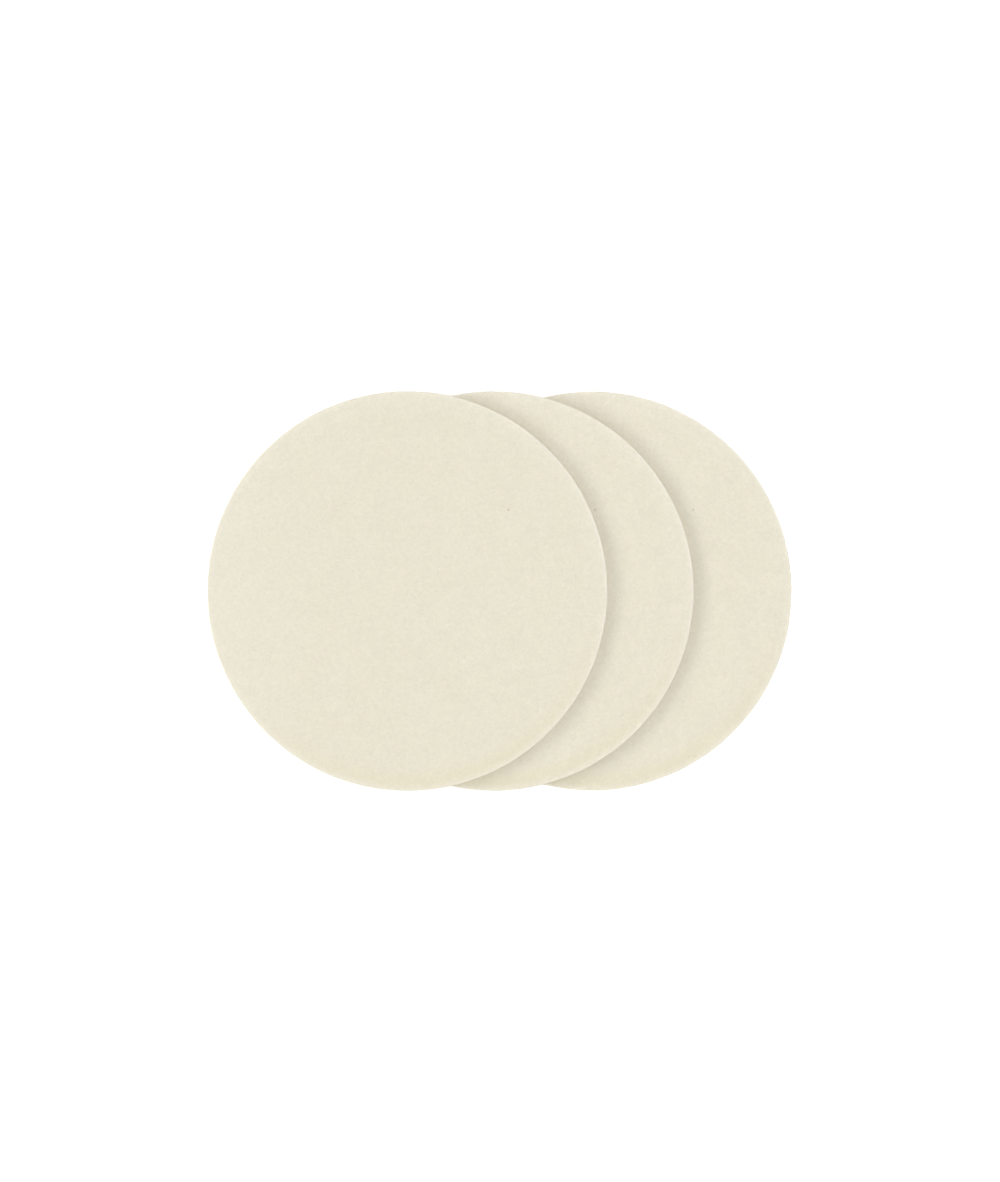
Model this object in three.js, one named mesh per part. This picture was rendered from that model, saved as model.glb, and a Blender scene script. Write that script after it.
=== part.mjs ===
// A set of three peel-and-stick felt polishing discs, lying on one another as a fan.
// Each disc is pressed wool felt with an adhesive film on its back and a paper release liner under that.
// Millimetres, +Z up. The origin is at the centre of the set's footprint, on the surface that it lies on.
// The fan opens along X: the bottom disc is furthest to +X and the top disc is furthest to -X.

import * as THREE from 'three';

// Driving dimensions.
const DISC_DIAMETER = 152.4; // 6 inches, cut to suit a 6 inch lap plate
const FELT_THICKNESS = 3.2; // 1/8 inch felt
const FILM_THICKNESS = 0.15; // double-coated adhesive film
const LINER_THICKNESS = 0.12; // siliconed kraft paper
const LAYER_GAP = 0.02; // between each piece and the one that it lies on
const MIDDLE_STEP = 37.5; // the middle disc lies this far off the bottom disc's centre
const TOP_STEP = 33.0; // the top disc lies this far off the middle disc's centre
const DIE_ROUNDING = 0.4; // the cutting die rolls the felt's upper edge over by this radius
const LINER_TRIM = 0.1; // the liner's edge sits this far inside the felt's

// How finely the round shapes are divided.
const SIDES_AROUND = 128;
const SIDES_IN_ROUNDING = 4;

// Worked out from the dimensions above.
const DISC_RADIUS = DISC_DIAMETER / 2;
const FILM_BOTTOM = LINER_THICKNESS + LAYER_GAP;
const FELT_BOTTOM = FILM_BOTTOM + FILM_THICKNESS + LAYER_GAP;
const DISC_PITCH = FELT_BOTTOM + FELT_THICKNESS + LAYER_GAP;
const BOTTOM_X = (MIDDLE_STEP + TOP_STEP) / 2;
const MIDDLE_X = BOTTOM_X - MIDDLE_STEP;
const TOP_X = MIDDLE_X - TOP_STEP;

const feltMaterial = new THREE.MeshStandardMaterial({ color: 0xebe6d2, roughness: 0.95, metalness: 0 });
const filmMaterial = new THREE.MeshStandardMaterial({ color: 0xe6dcb4, roughness: 0.3, metalness: 0 });
const linerMaterial = new THREE.MeshStandardMaterial({ color: 0xdcc496, roughness: 0.6, metalness: 0 });

// A solid of revolution about Z. The profile runs from the axis at the bottom to the axis at the top.
function turned(profile) {
  return new THREE.LatheGeometry(profile, SIDES_AROUND).rotateX(Math.PI / 2);
}

// A plain flat disc that stands on z = 0.
function flatDisc(radius, thickness) {
  return turned([
    new THREE.Vector2(0, 0),
    new THREE.Vector2(radius, 0),
    new THREE.Vector2(radius, thickness),
    new THREE.Vector2(0, thickness),
  ]);
}

// The felt: a thick disc that stands on z = 0, its upper edge rolled over by the cutting die.
function feltDisc() {
  const rounding = new THREE.Path().absarc(
    DISC_RADIUS - DIE_ROUNDING,
    FELT_THICKNESS - DIE_ROUNDING,
    DIE_ROUNDING,
    0,
    Math.PI / 2,
    false,
  );
  return turned([
    new THREE.Vector2(0, 0),
    new THREE.Vector2(DISC_RADIUS, 0),
    ...rounding.getSpacedPoints(SIDES_IN_ROUNDING),
    new THREE.Vector2(0, FELT_THICKNESS),
  ]);
}

const feltGeometry = feltDisc();
const filmGeometry = flatDisc(DISC_RADIUS, FILM_THICKNESS);
const linerGeometry = flatDisc(DISC_RADIUS - LINER_TRIM, LINER_THICKNESS);

function piece(name, geometry, material, height) {
  const mesh = new THREE.Mesh(geometry, material);
  mesh.name = name;
  mesh.position.z = height;
  return mesh;
}

// One complete disc, lying on its liner: liner, adhesive film and felt, from the bottom up.
function polishingDisc(place) {
  const disc = new THREE.Group();
  disc.add(
    piece(`${place}_release_liner`, linerGeometry, linerMaterial, 0),
    piece(`${place}_adhesive_film`, filmGeometry, filmMaterial, FILM_BOTTOM),
    piece(`${place}_felt_disc`, feltGeometry, feltMaterial, FELT_BOTTOM),
  );
  return disc;
}

const set = new THREE.Group();
const places = [
  ['bottom', BOTTOM_X],
  ['middle', MIDDLE_X],
  ['top', TOP_X],
];
places.forEach(([place, x], level) => {
  const disc = polishingDisc(place);
  disc.position.set(x, 0, level * DISC_PITCH);
  set.add(disc);
});

export default set;
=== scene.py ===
import math

import bpy
import numpy as np
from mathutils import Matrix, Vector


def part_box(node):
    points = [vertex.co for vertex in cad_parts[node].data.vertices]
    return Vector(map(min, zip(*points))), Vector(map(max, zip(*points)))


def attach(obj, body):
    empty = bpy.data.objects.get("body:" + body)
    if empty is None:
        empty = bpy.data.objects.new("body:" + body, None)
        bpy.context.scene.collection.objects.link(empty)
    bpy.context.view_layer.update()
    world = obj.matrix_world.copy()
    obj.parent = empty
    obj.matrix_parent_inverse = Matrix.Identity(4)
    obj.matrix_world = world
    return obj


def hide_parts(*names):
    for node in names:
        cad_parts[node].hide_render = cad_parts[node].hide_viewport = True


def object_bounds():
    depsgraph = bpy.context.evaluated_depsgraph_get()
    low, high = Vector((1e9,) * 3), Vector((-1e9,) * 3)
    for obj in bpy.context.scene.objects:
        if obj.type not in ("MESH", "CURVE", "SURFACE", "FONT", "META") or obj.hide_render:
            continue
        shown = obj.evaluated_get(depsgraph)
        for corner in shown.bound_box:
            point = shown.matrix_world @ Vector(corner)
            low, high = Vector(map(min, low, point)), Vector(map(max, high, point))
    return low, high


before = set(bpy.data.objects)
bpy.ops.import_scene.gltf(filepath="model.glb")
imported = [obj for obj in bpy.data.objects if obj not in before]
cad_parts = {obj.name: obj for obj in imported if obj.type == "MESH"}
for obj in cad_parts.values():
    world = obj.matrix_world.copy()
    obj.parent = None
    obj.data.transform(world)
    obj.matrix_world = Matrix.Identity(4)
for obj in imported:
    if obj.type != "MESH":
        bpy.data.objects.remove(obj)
cad_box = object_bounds()

MM = 0.001
PLACES = ("bottom", "middle", "top")

# The felt's shape.
FELT_PITCH = 0.6 * MM  # between the points of the polishing face
WALL_ROWS = 12  # rows of points down the cut edge
ROUNDING_STEPS = 3  # rows of points over the rounded upper edge
NAP_DEPTH = 0.11 * MM  # the pressed body lies this far under the tips of the nap
CLUMP_SIZE = 1.7 * MM
CLUMP_HEIGHT = 0.06 * MM
GRAIN_SIZE = 0.8 * MM
GRAIN_HEIGHT = 0.025 * MM
EDGE_ROUNDING = 0.4 * MM  # the cutting die rolls the upper edge over
EDGE_SINK = 0.04 * MM  # and presses the face down beside it
EDGE_SINK_WIDTH = 2.0 * MM
PLY_HEIGHT = 0.40 * MM  # the cut edge shows the layers of the carded wool
PLY_LENGTH = 3.0 * MM
PLY_DEPTH = 0.06 * MM

# The loose fibres.
EDGE_FIBRES = 6000
FACE_FIBRES = 6000
FIBRE_RADIUS = 0.013 * MM
ROOT_DEPTH = 0.15 * MM  # how far inside the cut edge a fibre starts
FIBRE_STEPS = 5
FIBRE_SIDES = 3

# The thin layers under the felt.
THIN_SIDES = 384  # the most points in one ring
THIN_RINGS = 40
RING_GROWTH = 12  # points that each ring has more than the one inside it
FILM_RELIEF = 0.006 * MM
LINER_RELIEF = 0.004 * MM

# The light and the view.
SKY_STRENGTH = 1.011
SIDE_LIGHT = 0.45  # how much stronger the sky is along X, and weaker along Y
FLOOR_HALF = 8.0  # half of the floor's width
FLOOR_DROP = 0.05 * MM  # keeps the floor clear of the bottom liner
FLOOR_THROWN = 0.85  # how much light the floor throws back onto the discs
FLOOR_SEEN = 1.9  # and towards the camera, which makes it plain white
VIEW_HEIGHT = 0.451  # how far along Y the camera sees, at the height of the top face
LENS = 500.0
SENSOR = 36.0


# ---------------------------------------------------------------- shapes

def smooth_noise(points, cell, seed):
    """Noise from -1 to 1 at each point: random values at a lattice's corners, blended smoothly between."""
    size = 64
    table = np.random.default_rng(seed).uniform(-1, 1, (size, size, size))
    scaled = np.asarray(points) / np.asarray(cell)
    corner = np.floor(scaled).astype(int)
    part = scaled - corner
    part = part * part * (3 - 2 * part)
    total = np.zeros(len(scaled))
    for dx in (0, 1):
        for dy in (0, 1):
            for dz in (0, 1):
                weight = (
                    (part[:, 0] if dx else 1 - part[:, 0])
                    * (part[:, 1] if dy else 1 - part[:, 1])
                    * (part[:, 2] if dz else 1 - part[:, 2])
                )
                x, y, z = ((corner + (dx, dy, dz)) % size).T
                total += weight * table[x, y, z]
    return total


def stitched(first, second):
    """The triangles between two rings of point numbers, each going once round from the same side."""
    a, b = len(first), len(second)
    faces = []
    i = j = 0
    while i < a or j < b:
        if j == b or (i < a and (i + 1) * b <= (j + 1) * a):
            faces.append((first[i % a], second[j % b], first[(i + 1) % a]))
            i += 1
        else:
            faces.append((first[i % a], second[j % b], second[(j + 1) % b]))
            j += 1
    return faces


def turned_mesh(rings):
    """Points and triangles of a closed solid of revolution. rings are (radius, height, count) from the middle
    of the top to the middle of the bottom, and the first and last have one point."""
    points, faces, numbers = [], [], []
    for radius, height, count in rings:
        start = len(points)
        numbers.append(list(range(start, start + count)))
        for k in range(count):
            turn = math.tau * k / count
            points.append((radius * math.cos(turn), radius * math.sin(turn), height))
    for upper, lower in zip(numbers, numbers[1:]):
        if len(upper) == 1:
            n = len(lower)
            faces += [(upper[0], lower[k], lower[(k + 1) % n]) for k in range(n)]
        elif len(lower) == 1:
            n = len(upper)
            faces += [(upper[(k + 1) % n], upper[k], lower[0]) for k in range(n)]
        else:
            faces += stitched(upper, lower)
    return np.array(points), faces


def thinning_rings(radius, height, count):
    """Rings that go inwards over a hidden face, each with half the points of the last, to one point."""
    rings = []
    while count > 6:
        count //= 2
        radius *= 0.72
        rings.append((radius, height, count))
    return rings + [(0.0, height, 1)]


def made_object(name, points, faces, centre, material, smooth=True, **per_point):
    """A mesh object. disc_point holds each point's place from the middle of the disc's underside, and
    per_point holds more numbers for the material."""
    mesh = bpy.data.meshes.new(name)
    mesh.from_pydata([tuple(p) for p in points + np.array(centre)], [], faces)
    mesh.polygons.foreach_set("use_smooth", [smooth] * len(mesh.polygons))
    place = mesh.attributes.new("disc_point", "FLOAT_VECTOR", "POINT")
    place.data.foreach_set("vector", points.astype(np.float32).ravel())
    for key, values in per_point.items():
        mesh.attributes.new(key, "FLOAT", "POINT").data.foreach_set("value", values.astype(np.float32))
    mesh.materials.append(material)
    mesh.update()
    made = bpy.data.objects.new(name, mesh)
    bpy.context.scene.collection.objects.link(made)
    return made


def middle_of(node):
    """The middle of a flat CAD node's underside, its radius and its thickness."""
    low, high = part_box(node)
    centre = ((low.x + high.x) / 2, (low.y + high.y) / 2, low.z)
    return centre, (high.x - low.x) / 2, high.z - low.z


def felt_body(place, seed, material):
    """The pressed felt. Each ring of its face has six more points than the last, so they lie evenly."""
    centre, radius, thickness = middle_of(f"{place}_felt_disc")
    top = thickness - NAP_DEPTH
    flat_radius = radius - EDGE_ROUNDING
    ring_count = round(flat_radius / FELT_PITCH)
    around = 6 * ring_count
    rings = [(0.0, top, 1)]
    rings += [(flat_radius * k / ring_count, top, 6 * k) for k in range(1, ring_count + 1)]
    for step in range(1, ROUNDING_STEPS + 1):
        turn = math.pi / 2 * step / ROUNDING_STEPS
        out = EDGE_ROUNDING * math.sin(turn)
        down = EDGE_ROUNDING * (1 - math.cos(turn))
        rings.append((flat_radius + out, top - down, around))
    wall_top = top - EDGE_ROUNDING
    rings += [(radius, wall_top * (1 - k / WALL_ROWS), around) for k in range(1, WALL_ROWS + 1)]
    rings += thinning_rings(radius, 0.0, around)
    points, faces = turned_mesh(rings)

    reach = np.hypot(points[:, 0], points[:, 1])
    upper = np.clip((points[:, 2] - wall_top) / EDGE_ROUNDING, 0, 1)
    relief = CLUMP_HEIGHT * smooth_noise(points, CLUMP_SIZE, seed)
    relief += GRAIN_HEIGHT * smooth_noise(points, GRAIN_SIZE, seed + 1)
    sink = EDGE_SINK * np.clip((reach - radius + EDGE_SINK_WIDTH) / EDGE_SINK_WIDTH, 0, 1) ** 2
    on_wall = (points[:, 2] > 0) * np.clip((reach - flat_radius) / EDGE_ROUNDING, 0, 1)
    turn = np.arctan2(points[:, 1], points[:, 0])
    unrolled = np.column_stack([turn * radius, np.zeros(len(points)), points[:, 2]])
    plies = smooth_noise(unrolled, (PLY_LENGTH, 1.0, PLY_HEIGHT), seed + 2)
    grain = smooth_noise(points, GRAIN_SIZE, seed + 3)
    inset = on_wall * PLY_DEPTH * (0.6 * plies + 0.4 * grain)
    points[:, :2] *= (1 + inset / np.maximum(reach, radius / 2))[:, None]
    points[:, 2] += upper * (relief - sink)
    return made_object(f"{place}_felt", points, faces, centre, material)


def fibre_mesh(roots, ends, bulges, radii):
    """Closed, tapered, three-sided tubes. Each runs from root to end and bows out by its bulge on the way."""
    steps = np.linspace(0, 1, FIBRE_STEPS + 1)
    bow = (4 * steps * (1 - steps))[None, :, None]
    lines = roots[:, None, :] + (ends - roots)[:, None, :] * steps[None, :, None] + bulges[:, None, :] * bow
    along = ends - roots
    along /= np.linalg.norm(along, axis=1, keepdims=True)
    helper = np.where(np.abs(along[:, 2:]) > 0.9, (1.0, 0.0, 0.0), (0.0, 0.0, 1.0))
    across = np.cross(along, helper)
    across /= np.linalg.norm(across, axis=1, keepdims=True)
    upward = np.cross(along, across)
    turns = math.tau * np.arange(FIBRE_SIDES) / FIBRE_SIDES
    section = (
        across[:, None, :] * np.cos(turns)[None, :, None]
        + upward[:, None, :] * np.sin(turns)[None, :, None]
    )
    width = radii[:, None] * (1 - 0.65 * steps[None, :])
    points = lines[:, :, None, :] + section[:, None, :, :] * width[:, :, None, None]

    sides = []
    for step in range(FIBRE_STEPS):
        for side in range(FIBRE_SIDES):
            here, there = step * FIBRE_SIDES, (step + 1) * FIBRE_SIDES
            after = (side + 1) % FIBRE_SIDES
            sides.append((here + side, there + side, there + after, here + after))
    last = FIBRE_STEPS * FIBRE_SIDES
    caps = [tuple(range(FIBRE_SIDES)), tuple(reversed(range(last, last + FIBRE_SIDES)))]
    per_fibre = (FIBRE_STEPS + 1) * FIBRE_SIDES
    faces = [
        tuple(k + fibre * per_fibre for k in face)
        for fibre in range(len(roots))
        for face in sides + caps
    ]
    return points.reshape(-1, 3), faces


def edge_fibres(radius, thickness, rng):
    """Short cut ends that stand out of the rim, a little more of them towards its top."""
    count = EDGE_FIBRES
    turn = rng.uniform(0, math.tau, count)
    height = thickness * (0.06 + 0.86 * rng.uniform(0, 1, count) ** 0.8)
    outward = np.column_stack([np.cos(turn), np.sin(turn), np.zeros(count)])
    sideways = np.column_stack([-np.sin(turn), np.cos(turn), np.zeros(count)])
    upward = np.array([0.0, 0.0, 1.0])
    length = MM * (0.20 + 0.65 * rng.uniform(0, 1, count) ** 2.5)
    lean = rng.normal(0, 0.75, count)
    rise = rng.uniform(-0.35, 0.35, count)
    drop = np.maximum(height - (thickness - NAP_DEPTH - EDGE_ROUNDING), 0)
    rolled = EDGE_ROUNDING - np.sqrt(np.maximum(EDGE_ROUNDING**2 - drop**2, 0))
    roots = outward * (radius - rolled - ROOT_DEPTH)[:, None] + height[:, None] * upward
    reach = (length + ROOT_DEPTH)[:, None]
    ends = roots + reach * (outward + lean[:, None] * sideways + rise[:, None] * upward) / np.sqrt(
        1 + lean**2 + rise**2
    )[:, None]
    ends[:, 2] = np.clip(ends[:, 2], 0.05 * MM, thickness - 0.03 * MM)
    bulges = reach * 0.22 * rng.normal(0, 1, (count, 3))
    bulges[:, 2] *= 0.3
    radii = FIBRE_RADIUS * rng.uniform(0.7, 1.3, count)
    return roots, ends, bulges, radii


def face_fibres(radius, thickness, rng):
    """Longer strands that lie in the nap, with both ends worked into the felt."""
    count = FACE_FIBRES
    turn = rng.uniform(0, math.tau, count)
    reach = (radius - 2.2 * MM) * np.sqrt(rng.uniform(0, 1, count))
    height = np.full(count, thickness - NAP_DEPTH - 0.07 * MM)
    roots = np.column_stack([reach * np.cos(turn), reach * np.sin(turn), height])
    heading = rng.uniform(0, math.tau, count)
    length = MM * rng.uniform(1.2, 4.2, count)
    level = np.column_stack([np.cos(heading), np.sin(heading), np.zeros(count)])
    ends = roots + length[:, None] * level
    beyond = np.hypot(ends[:, 0], ends[:, 1]) / (radius - 1.0 * MM)
    ends[:, :2] /= np.maximum(beyond, 1)[:, None]
    bow = length * rng.normal(0, 0.13, count)
    bulges = np.column_stack([-np.sin(heading) * bow, np.cos(heading) * bow, np.zeros(count)])
    bulges[:, 2] = (0.07 + 0.075 * rng.uniform(0, 1, count)) * MM
    radii = FIBRE_RADIUS * rng.uniform(0.6, 1.1, count)
    return roots, ends, bulges, radii


def loose_fibres(place, part, lines, seed, material):
    centre, radius, thickness = middle_of(f"{place}_felt_disc")
    rng = np.random.default_rng(seed)
    drawn = lines(radius, thickness, rng)
    points, faces = fibre_mesh(*drawn)
    count = len(drawn[0])
    tint = np.repeat(rng.uniform(0, 1, count), len(points) // count)
    return made_object(f"{place}_{part}_fibres", points, faces, centre, material, fibre_tint=tint)


def thin_layer(node, name, relief, cell, seed, material):
    """A thin disc that fills its CAD node, with fine relief sunk into its two faces."""
    centre, radius, thickness = middle_of(node)
    face = [(radius * k / THIN_RINGS, min(THIN_SIDES, RING_GROWTH * k)) for k in range(1, THIN_RINGS)]
    # One more ring close inside the rim keeps the edge crisp.
    face += [(radius - radius / THIN_RINGS * 0.2, THIN_SIDES), (radius, THIN_SIDES)]
    rings = [(0.0, thickness, 1)]
    rings += [(reach, thickness, count) for reach, count in face]
    rings += [(reach, 0.0, count) for reach, count in reversed(face)]
    rings += [(0.0, 0.0, 1)]
    points, faces = turned_mesh(rings)
    inward = np.where(points[:, 2] > thickness / 2, -1, 1)
    depth = relief * (1 + smooth_noise(points, cell, seed)) / 2
    points[:, 2] += inward * depth
    return made_object(name, points, faces, centre, material, smooth=False)


# ---------------------------------------------------------------- materials

class Graph:
    """The node tree of a material or a world, built from its sources to its output."""

    def __init__(self, owner):
        self.owner = owner
        owner.use_nodes = True
        self.tree = owner.node_tree
        self.tree.nodes.clear()

    def add(self, kind, inputs=(), **settings):
        """A node of that kind. inputs are (socket, value) pairs, and a value may be another node's output."""
        made = self.tree.nodes.new("ShaderNode" + kind)
        for key, value in settings.items():
            setattr(made, key, value)
        for key, value in inputs:
            if isinstance(value, bpy.types.NodeSocket):
                self.tree.links.new(value, made.inputs[key])
            else:
                made.inputs[key].default_value = value
        return made

    def maths(self, operation, first, second=0.0):
        return self.add("Math", [(0, first), (1, second)], operation=operation).outputs[0]

    def ranged(self, value, low, high, to_low=0.0, to_high=1.0):
        """value, from low to high, turned smoothly into to_low to to_high."""
        pairs = [
            ("Value", value),
            ("From Min", low),
            ("From Max", high),
            ("To Min", to_low),
            ("To Max", to_high),
        ]
        return self.add("MapRange", pairs, interpolation_type="SMOOTHSTEP").outputs["Result"]

    def blended(self, share, first, second, blend_type="MIX"):
        pairs = [(0, share), (6, first), (7, second)]
        return self.add("Mix", pairs, data_type="RGBA", blend_type=blend_type).outputs[2]

    def noise(self, place, feature, detail=2.0, roughness=0.5, distortion=0.0):
        """Noise whose features are about that many metres across, from 0 to 1 about 0.5."""
        pairs = [
            ("Vector", place),
            ("Scale", 1 / feature),
            ("Detail", detail),
            ("Roughness", roughness),
            ("Distortion", distortion),
        ]
        return self.add("TexNoise", pairs).outputs["Fac"]

    def stretched(self, place, stretch, turn=0.0):
        """place, with what is drawn on it made stretch times as long along axes that are turned about Z."""
        pairs = [("Vector", place), ("Rotation", (0.0, 0.0, turn)), ("Scale", stretch)]
        return self.add("Mapping", pairs, vector_type="TEXTURE").outputs["Vector"]

    def strands(self, place, width, length, turns):
        """Fine lines of that width and length that curve and cross: 1 along their tops, 0 between them."""
        swirl = self.add("TexNoise", [("Vector", place), ("Scale", 1 / (1.6 * length)), ("Detail", 1.0)])
        pairs = [(0, swirl.outputs["Color"]), (1, (0.5, 0.5, 0.5))]
        centred = self.add("VectorMath", pairs, operation="SUBTRACT").outputs[0]
        pairs = [(0, centred), ("Scale", 1.6 * length)]
        bend = self.add("VectorMath", pairs, operation="SCALE").outputs[0]
        bent = self.add("VectorMath", [(0, place), (1, bend)], operation="ADD").outputs[0]
        tops = 0.0
        for level, turn in enumerate(turns):
            lined = self.stretched(bent, (1.0, length / width, 1.0), turn)
            wave = self.noise(lined, 2 * width, 1.0, 0.5)
            off = self.maths("ABSOLUTE", self.maths("SUBTRACT", wave, 0.5))
            ridge = self.ranged(off, 0.0, 0.08, 1.0 - 0.1 * level, 0.0)
            tops = self.maths("MAXIMUM", tops, ridge)
        return tops

    def all_times(self, first, *factors):
        """The product of all of them."""
        for factor in factors:
            first = self.maths("MULTIPLY", first, factor)
        return first

    def finish(self, shader, output="OutputMaterial"):
        self.add(output, [("Surface", shader)])
        return self.owner


def rgb(red, green, blue):
    return (red, green, blue, 1.0)


# The felt's colours and marks, and the painted light, shade and highlights on its face.
CREAM = rgb(0.833, 0.792, 0.641)
CREAM_PATCH = rgb(0.835, 0.795, 0.648)
# Painted light: the face is paler towards -X.
PAINTED_LIGHT_SIDE = rgb(0.890, 0.848, 0.705)
# Painted shade: the border is darker and warmer towards -Y.
PAINTED_WARM_SHADE = rgb(0.829, 0.764, 0.585)
# Painted highlight: the border is paler towards +Y and in a band inside the rim.
PAINTED_BORDER_HIGHLIGHT = rgb(0.890, 0.849, 0.720)
# Painted highlight: a pale line just inside the rim.
PAINTED_RIM_HIGHLIGHT = rgb(0.932, 0.885, 0.745)
CUT_EDGE = rgb(0.778, 0.740, 0.620)
PALE_KNOT = rgb(0.93, 0.905, 0.79)
DARK_KNOT = rgb(0.70, 0.645, 0.49)
SPECK = rgb(0.44, 0.37, 0.24)
MARK = rgb(0.42, 0.35, 0.22)
MARK_PLACE = (38.5 * MM, 31.0 * MM, 3.1 * MM)  # from the middle of each disc's underside
PAINTED_SHADE_SIDE = (0.26, -0.97, 0.0)  # the way from the middle to where the painted warm shade of the border is deepest


def felt_tints(g, disc_radius, disc_place, clumps):
    """The felt's broad colours, with painted light, shade and highlights on its face, and a mask that is 1 on
    the cut edge and 0 on the face.
    """
    x, y = g.add("SeparateXYZ", [(0, disc_place)]).outputs[:2]
    flat_place = g.add("CombineXYZ", [(0, x), (1, y)]).outputs[0]
    reach = g.add("VectorMath", [(0, flat_place)], operation="LENGTH").outputs["Value"]
    stains = g.noise(disc_place, 22 * MM, 3.0, 0.5)

    # The face is cream with faint patches, and painted light makes it paler towards -X. Beside the cut edge,
    # painted light makes it paler towards +Y and painted shade makes it a little darker and warmer towards
    # -Y, with a painted highlight along the rim.
    colour = g.blended(g.ranged(stains, 0.3, 0.7), CREAM, CREAM_PATCH)
    # Painted light: paler towards -X, most of all near the -X rim.
    painted_side_light = g.ranged(x, 0.1 * disc_radius, -0.7 * disc_radius, 0.0, 0.06)
    paler = g.ranged(x, -0.5 * disc_radius, -0.97 * disc_radius, 0.0, 0.32)
    colour = g.blended(g.maths("ADD", painted_side_light, paler), colour, PAINTED_LIGHT_SIDE)
    ragged_reach = g.maths("ADD", reach, g.all_times(g.maths("SUBTRACT", clumps, 0.5), 1.6 * MM))
    border = g.ranged(ragged_reach, disc_radius - 9 * MM, disc_radius - 3 * MM)
    pairs = [(0, flat_place), (1, PAINTED_SHADE_SIDE)]
    downward = g.add("VectorMath", pairs, operation="DOT_PRODUCT").outputs["Value"]
    # Painted shade: darker and warmer in the border towards -Y.
    lower = g.all_times(border, g.ranged(downward, 0.35 * disc_radius, disc_radius), 0.75)
    colour = g.blended(lower, colour, PAINTED_WARM_SHADE)
    # Painted light: the border is paler towards +Y, and a painted highlight lies in the last 3 mm inside the
    # rim.
    upper = g.all_times(border, g.ranged(y, -0.5 * disc_radius, disc_radius, 0.04, 0.24))
    rim = g.ranged(ragged_reach, disc_radius - 3.0 * MM, disc_radius - 0.4 * MM, 0.0, 0.42)
    colour = g.blended(g.maths("ADD", upper, rim), colour, PAINTED_BORDER_HIGHLIGHT)
    # Painted highlight: a pale line in the last millimetre inside the rim.
    corner = g.ranged(reach, disc_radius - 1.1 * MM, disc_radius - 0.4 * MM, 0.0, 0.5)
    colour = g.blended(corner, colour, PAINTED_RIM_HIGHLIGHT)
    on_edge = g.ranged(reach, disc_radius - 0.12 * MM, disc_radius - 0.02 * MM)
    return g.blended(on_edge, colour, CUT_EDGE), on_edge


def with_specks(g, colour, row_place, disc_place, roughness):
    """colour, with small paler and darker knots of wool, a few specks of plant matter anywhere, and one dark
    mark in the same place on each disc. roughness breaks up their outlines."""
    cells = g.add("TexVoronoi", [("Vector", row_place), ("Scale", 1 / (2.6 * MM))])
    knot = g.ranged(g.maths("ADD", cells.outputs["Distance"], g.all_times(roughness, 0.1)), 0.20, 0.12)
    chosen = g.add("SeparateColor", [(0, cells.outputs["Color"])]).outputs[0]
    colour = g.blended(g.all_times(knot, g.ranged(chosen, 0.80, 0.81), 0.45), colour, PALE_KNOT)
    colour = g.blended(g.all_times(knot, g.ranged(chosen, 0.12, 0.11), 0.4), colour, DARK_KNOT)
    cells = g.add("TexVoronoi", [("Vector", row_place), ("Scale", 1 / (9 * MM))])
    speck = g.ranged(cells.outputs["Distance"], 0.022, 0.012)
    chosen = g.add("SeparateColor", [(0, cells.outputs["Color"])]).outputs[0]
    speck = g.all_times(speck, g.ranged(chosen, 0.80, 0.81), 0.5)
    colour = g.blended(speck, colour, SPECK)
    pairs = [(0, disc_place), (1, MARK_PLACE)]
    near = g.add("VectorMath", pairs, operation="DISTANCE").outputs["Value"]
    near = g.maths("ADD", near, g.maths("MULTIPLY", roughness, 0.5 * MM))
    return g.blended(g.ranged(near, 0.95 * MM, 0.45 * MM, 0.0, 0.34), colour, MARK)


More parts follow.
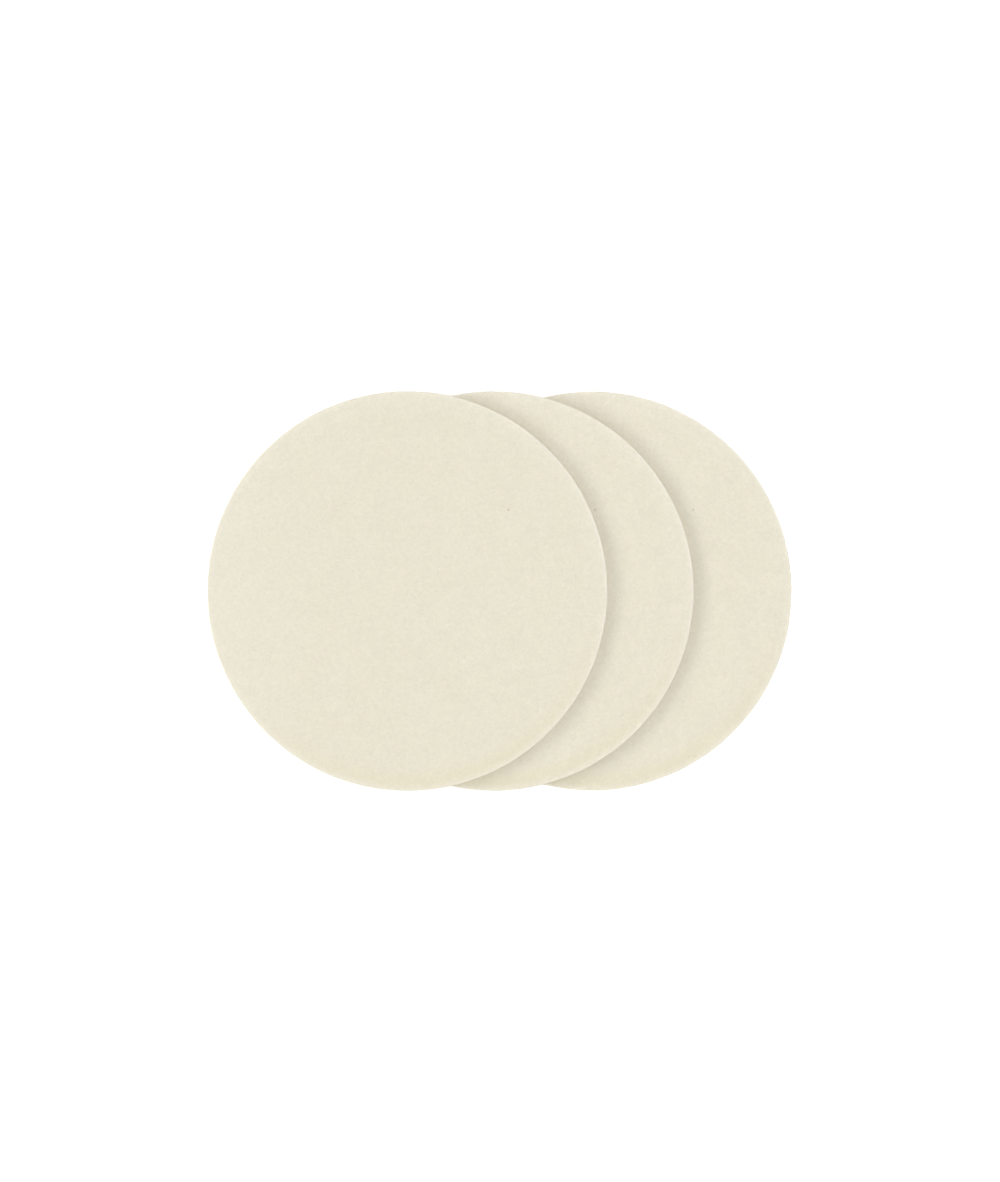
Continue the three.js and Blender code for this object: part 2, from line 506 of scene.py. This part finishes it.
def felt_material(disc_radius):
    """Carded wool: clumps, and wisps and strands that wander over one another. The cut edge has plies and the
    cut ends of fibres."""
    g = Graph(bpy.data.materials.new("wool_felt"))
    row_place = g.add("TexCoord").outputs["Object"]
    disc_place = g.add("Attribute", attribute_name="disc_point").outputs["Vector"]
    clumps = g.noise(row_place, 1.5 * MM, 3.0, 0.6)
    colour, on_edge = felt_tints(g, disc_radius, disc_place, clumps)

    strands = g.strands(row_place, 0.09 * MM, 1.5 * MM, (0.3, 1.4, 2.4, 0.9, 2.0))
    wisps = g.strands(row_place, 0.30 * MM, 3.0 * MM, (0.1, 1.1, 2.2))
    plies = g.noise(g.stretched(disc_place, (6.0, 6.0, 1.0)), 0.42 * MM, 2.0, 0.5)
    cut_ends = g.noise(g.stretched(disc_place, (2.5, 2.5, 1.0)), 0.12 * MM, 2.0, 0.65, 0.4)
    clouds = g.noise(row_place, 5 * MM, 2.0, 0.5)
    face_tone = g.all_times(
        g.ranged(clumps, 0.3, 0.7, 0.984, 1.018),
        g.ranged(wisps, 0.0, 1.0, 0.984, 1.034),
        g.ranged(strands, 0.0, 1.0, 0.962, 1.035),
        g.ranged(clouds, 0.3, 0.7, 0.993, 1.007),
    )
    edge_tone = g.all_times(g.ranged(plies, 0.35, 0.65, 0.93, 1.04), g.ranged(cut_ends, 0.3, 0.7, 0.91, 1.07))
    tone = g.add("Mix", [("Factor", on_edge), ("A", face_tone), ("B", edge_tone)]).outputs["Result"]
    grey = g.add("CombineColor", [(0, tone), (1, tone), (2, tone)]).outputs[0]
    colour = g.blended(1.0, colour, grey, "MULTIPLY")
    colour = with_specks(g, colour, row_place, disc_place, cut_ends)

    height = g.maths("ADD", g.all_times(clumps, 0.25), g.all_times(strands, 0.5))
    height = g.maths("ADD", height, g.all_times(wisps, 0.4))
    edge_height = g.maths("ADD", g.all_times(plies, 0.5), g.all_times(cut_ends, 0.9))
    pairs = [("Factor", on_edge), ("A", height), ("B", edge_height)]
    height = g.add("Mix", pairs).outputs["Result"]
    bump = g.add("Bump", [("Strength", 0.7), ("Distance", 0.10 * MM), ("Height", height)])
    shader = g.add(
        "BsdfPrincipled",
        [
            ("Base Color", colour),
            ("Roughness", g.ranged(strands, 0.0, 1.0, 0.98, 0.84)),
            ("Specular IOR Level", 0.2),
            ("Sheen Weight", 0.25),
            ("Sheen Roughness", 0.45),
            ("Sheen Tint", rgb(1.0, 0.97, 0.90)),
            ("Normal", bump.outputs["Normal"]),
        ],
    )
    return g.finish(shader.outputs[0])


def loose_fibre_material():
    """Single wool fibres, each a little yellower or whiter than the next."""
    g = Graph(bpy.data.materials.new("loose_wool_fibres"))
    place = g.add("TexCoord").outputs["Object"]
    tint = g.add("Attribute", attribute_name="fibre_tint").outputs["Fac"]
    along = g.noise(place, 0.4 * MM, 2.0, 0.6)
    tint = g.maths("ADD", g.all_times(tint, 0.75), g.all_times(along, 0.25))
    colour = g.blended(g.ranged(tint, 0.1, 0.9), rgb(0.80, 0.750, 0.590), rgb(0.90, 0.868, 0.745))
    shader = g.add(
        "BsdfPrincipled",
        [
            ("Base Color", colour),
            ("Roughness", g.ranged(along, 0.3, 0.7, 0.5, 0.7)),
            ("Specular IOR Level", 0.3),
            ("Sheen Weight", 0.2),
            ("Sheen Roughness", 0.4),
        ],
    )
    return g.finish(shader.outputs[0])


def film_material():
    g = Graph(bpy.data.materials.new("adhesive_film"))
    place = g.add("TexCoord").outputs["Object"]
    mould = g.noise(place, 2.4 * MM, 3.0, 0.55)
    scrim = g.noise(g.stretched(place, (1.0, 5.0, 1.0), 0.8), 0.4 * MM, 2.0, 0.6, 0.5)
    streaks = g.noise(g.stretched(place, (1.0, 20.0, 1.0)), 2.2 * MM, 2.0)
    tone = g.maths("ADD", g.maths("MULTIPLY", mould, 0.5), g.maths("MULTIPLY", streaks, 0.5))
    colour = g.blended(g.ranged(tone, 0.36, 0.64), rgb(0.70, 0.61, 0.40), rgb(0.81, 0.74, 0.54))
    colour = g.blended(g.ranged(scrim, 0.58, 0.72, 0.0, 0.35), colour, rgb(0.87, 0.83, 0.70))
    bump_height = g.maths("ADD", g.maths("MULTIPLY", mould, 0.7), g.maths("MULTIPLY", scrim, 0.3))
    bump = g.add("Bump", [("Strength", 0.5), ("Distance", 0.08 * MM), ("Height", bump_height)])
    shader = g.add(
        "BsdfPrincipled",
        [
            ("Base Color", colour),
            ("Roughness", g.ranged(mould, 0.3, 0.7, 0.22, 0.40)),
            ("Specular IOR Level", 0.5),
            ("Coat Weight", 0.35),
            ("Coat Roughness", 0.18),
            ("Normal", bump.outputs["Normal"]),
        ],
    )
    return g.finish(shader.outputs[0])


def liner_material(name, dark, light, rough, coat):
    g = Graph(bpy.data.materials.new(name))
    place = g.add("TexCoord").outputs["Object"]
    pulp = g.noise(place, 0.9 * MM, 4.0, 0.65)
    clouds = g.noise(place, 9 * MM, 3.0, 0.5)
    fibres = 0.0
    for turn in (0.5, 2.0):
        lined = g.stretched(place, (1.0, 8.0, 1.0), turn)
        fibres = g.maths("ADD", fibres, g.maths("MULTIPLY", g.noise(lined, 0.3 * MM, 2.0, 0.6, 0.8), 0.5))
    ribs = g.noise(g.stretched(place, (25.0, 1.0, 1.0)), 0.5 * MM, 1.0)
    tone = g.maths("ADD", g.maths("MULTIPLY", pulp, 0.45), g.maths("MULTIPLY", clouds, 0.15))
    tone = g.maths("ADD", tone, g.maths("MULTIPLY", fibres, 0.25))
    tone = g.maths("ADD", tone, g.maths("MULTIPLY", ribs, 0.15))
    colour = g.blended(g.ranged(tone, 0.38, 0.62), dark, light)
    shives = g.ranged(g.noise(g.stretched(place, (1.0, 5.0, 1.0), 1.1), 0.5 * MM, 1.0, 0.5, 1.0), 0.70, 0.76)
    colour = g.blended(g.maths("MULTIPLY", shives, 0.45), colour, rgb(0.36, 0.22, 0.10))
    bump = g.add("Bump", [("Strength", 0.35), ("Distance", 0.03 * MM), ("Height", tone)])
    shader = g.add(
        "BsdfPrincipled",
        [
            ("Base Color", colour),
            ("Roughness", g.ranged(pulp, 0.3, 0.7, rough - 0.05, rough + 0.08)),
            ("Specular IOR Level", 0.4),
            ("Coat Weight", coat),
            ("Coat Roughness", 0.3),
            ("Normal", bump.outputs["Normal"]),
        ],
    )
    return g.finish(shader.outputs[0])


# ---------------------------------------------------------------- the set

disc_radius = middle_of("top_felt_disc")[1]
felt = felt_material(disc_radius)
loose_wool = loose_fibre_material()
film = film_material()
siliconed = liner_material("liner_siliconed_face", rgb(0.62, 0.515, 0.315), rgb(0.73, 0.63, 0.415), 0.30, 0.3)
kraft = liner_material("liner_kraft_back", rgb(0.57, 0.455, 0.285), rgb(0.69, 0.575, 0.385), 0.62, 0.0)

for level, place in enumerate(PLACES):
    seed = 100 * (level + 1)
    liner_piece = thin_layer(
        f"{place}_release_liner", f"{place}_liner", LINER_RELIEF, 1.2 * MM, seed + 20, siliconed
    )
    liner_piece.data.materials.append(kraft)
    for face in liner_piece.data.polygons:
        face.material_index = int(face.normal.z < -0.5)
    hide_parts(f"{place}_release_liner")
    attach(liner_piece, f"{place}_liner")

    film_piece = thin_layer(f"{place}_adhesive_film", f"{place}_film", FILM_RELIEF, 2.0 * MM, seed + 30, film)
    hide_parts(f"{place}_adhesive_film")
    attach(film_piece, f"{place}_disc")

    felt_piece = felt_body(place, seed, felt)
    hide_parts(f"{place}_felt_disc")
    face_piece = loose_fibres(place, "face", face_fibres, seed + 10, loose_wool)
    edge_piece = loose_fibres(place, "edge", edge_fibres, seed + 11, loose_wool)
    for piece in (felt_piece, face_piece, edge_piece):
        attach(piece, f"{place}_disc")


# ---------------------------------------------------------------- floor, light and camera

def stage_floor():
    """A white table. From below it isn't there, and lets the light through to the underside."""
    mesh = bpy.data.meshes.new("floor")
    signs = [(-1, -1), (1, -1), (1, 1), (-1, 1)]
    corners = [(FLOOR_HALF * across, FLOOR_HALF * along, 0.0) for across, along in signs]
    mesh.from_pydata(corners, [], [(0, 1, 2, 3)])
    g = Graph(bpy.data.materials.new("white_floor"))
    path = g.add("LightPath").outputs
    brightness = g.ranged(path["Is Camera Ray"], 0.0, 1.0, FLOOR_THROWN, FLOOR_SEEN)
    grey = g.add("CombineColor", [(0, brightness), (1, brightness), (2, brightness)]).outputs[0]
    white = g.add("BsdfDiffuse", [("Color", grey)])
    below = g.add("NewGeometry").outputs["Backfacing"]
    passed = g.maths("GREATER_THAN", path["Transparent Depth"], 0.5)
    open_floor = g.add("BsdfTransparent")
    share = g.maths("MAXIMUM", below, passed)
    mixed = g.add("MixShader", [(0, share), (1, white.outputs[0]), (2, open_floor.outputs[0])])
    mesh.materials.append(g.finish(mixed.outputs[0]))
    floor = bpy.data.objects.new("floor", mesh)
    floor.location.z = -FLOOR_DROP
    bpy.context.scene.collection.objects.link(floor)


def ring_light():
    """A sky that is brightest in a ring some way above the horizon, stronger along X than along Y and cooler
    towards +X, with even light from below the horizon. The camera sees it as white."""
    g = Graph(bpy.data.worlds.new("studio"))
    direction = g.add("TexCoord").outputs["Generated"]
    x, y, up = g.add("SeparateXYZ", [(0, direction)]).outputs
    ramp = g.add("ValToRGB", [("Fac", g.all_times(g.maths("ADD", up, 1.0), 0.5))])
    # How far up, as the sine of the angle above the horizon, and how bright.
    stops = [
        (-0.1, 0.95),
        (0.0, 0.3),
        (0.14, 0.3),
        (0.27, 0.7),
        (0.42, 2.5),
        (0.5, 2.5),
        (0.58, 1.75),
        (0.7, 0.9),
        (0.85, 0.36),
        (1.0, 0.32),
    ]
    elements = ramp.color_ramp.elements
    while len(elements) < len(stops):
        elements.new(0.5)
    for element, (sine, level) in zip(elements, stops):
        element.position = (1 + sine) / 2
        element.color = (level, level, level, 1.0)
    sideways = g.maths("SUBTRACT", g.all_times(x, x), g.all_times(y, y))
    brightness = g.all_times(g.maths("ADD", g.all_times(sideways, SIDE_LIGHT), 1.0), SKY_STRENGTH)
    tint = g.blended(g.all_times(g.maths("ADD", x, 1.0), 0.5), rgb(1.0, 0.987, 0.88), rgb(1.0, 1.013, 1.12))
    colour = g.blended(1.0, ramp.outputs["Color"], tint, "MULTIPLY")
    lit = g.add("Background", [("Color", colour), ("Strength", brightness)])
    seen = g.add("Background", [("Color", rgb(1.0, 1.0, 1.0))])
    by_camera = g.add("LightPath").outputs["Is Camera Ray"]
    mixed = g.add("MixShader", [(0, by_camera), (1, lit.outputs[0]), (2, seen.outputs[0])])
    bpy.context.scene.world = g.finish(mixed.outputs[0], "OutputWorld")


def overhead_camera():
    low, high = cad_box
    data = bpy.data.cameras.new("camera")
    data.lens = LENS
    data.sensor_width = SENSOR
    camera = bpy.data.objects.new("camera", data)
    camera.location = ((low.x + high.x) / 2, (low.y + high.y) / 2, high.z + VIEW_HEIGHT * LENS / SENSOR)
    bpy.context.scene.collection.objects.link(camera)
    bpy.context.scene.camera = camera


stage_floor()
ring_light()
overhead_camera()
bpy.context.scene.view_settings.view_transform = "Standard"
